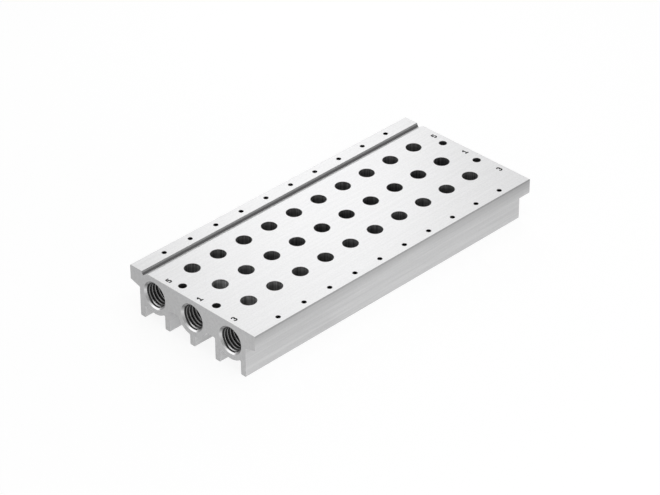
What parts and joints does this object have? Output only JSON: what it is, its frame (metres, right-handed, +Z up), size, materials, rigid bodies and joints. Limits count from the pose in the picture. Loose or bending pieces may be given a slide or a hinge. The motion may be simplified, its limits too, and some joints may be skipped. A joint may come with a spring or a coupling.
{
  "type": "manifold rail",
  "caption": "Extruded aluminium manifold rail on legs, with threaded through channels and rows of port and screw holes on top for valves side by side.",
  "frame": {"origin": "middle of the rail, in the plane that its feet stand on", "axes": "+X along the rail, from the threaded end that the picture shows to the far end; +Y across it, towards the lip with the label groove; +Z up, out of the face that the valves sit on"},
  "size_m": [0.2464, 0.1104, 0.0335],
  "materials": {
    "aluminium": "fine matt, milled ends and ground top face"
  },
  "bodies": {
    "root": {"manifold_rail": "aluminium"}
  },
  "joints": []
}
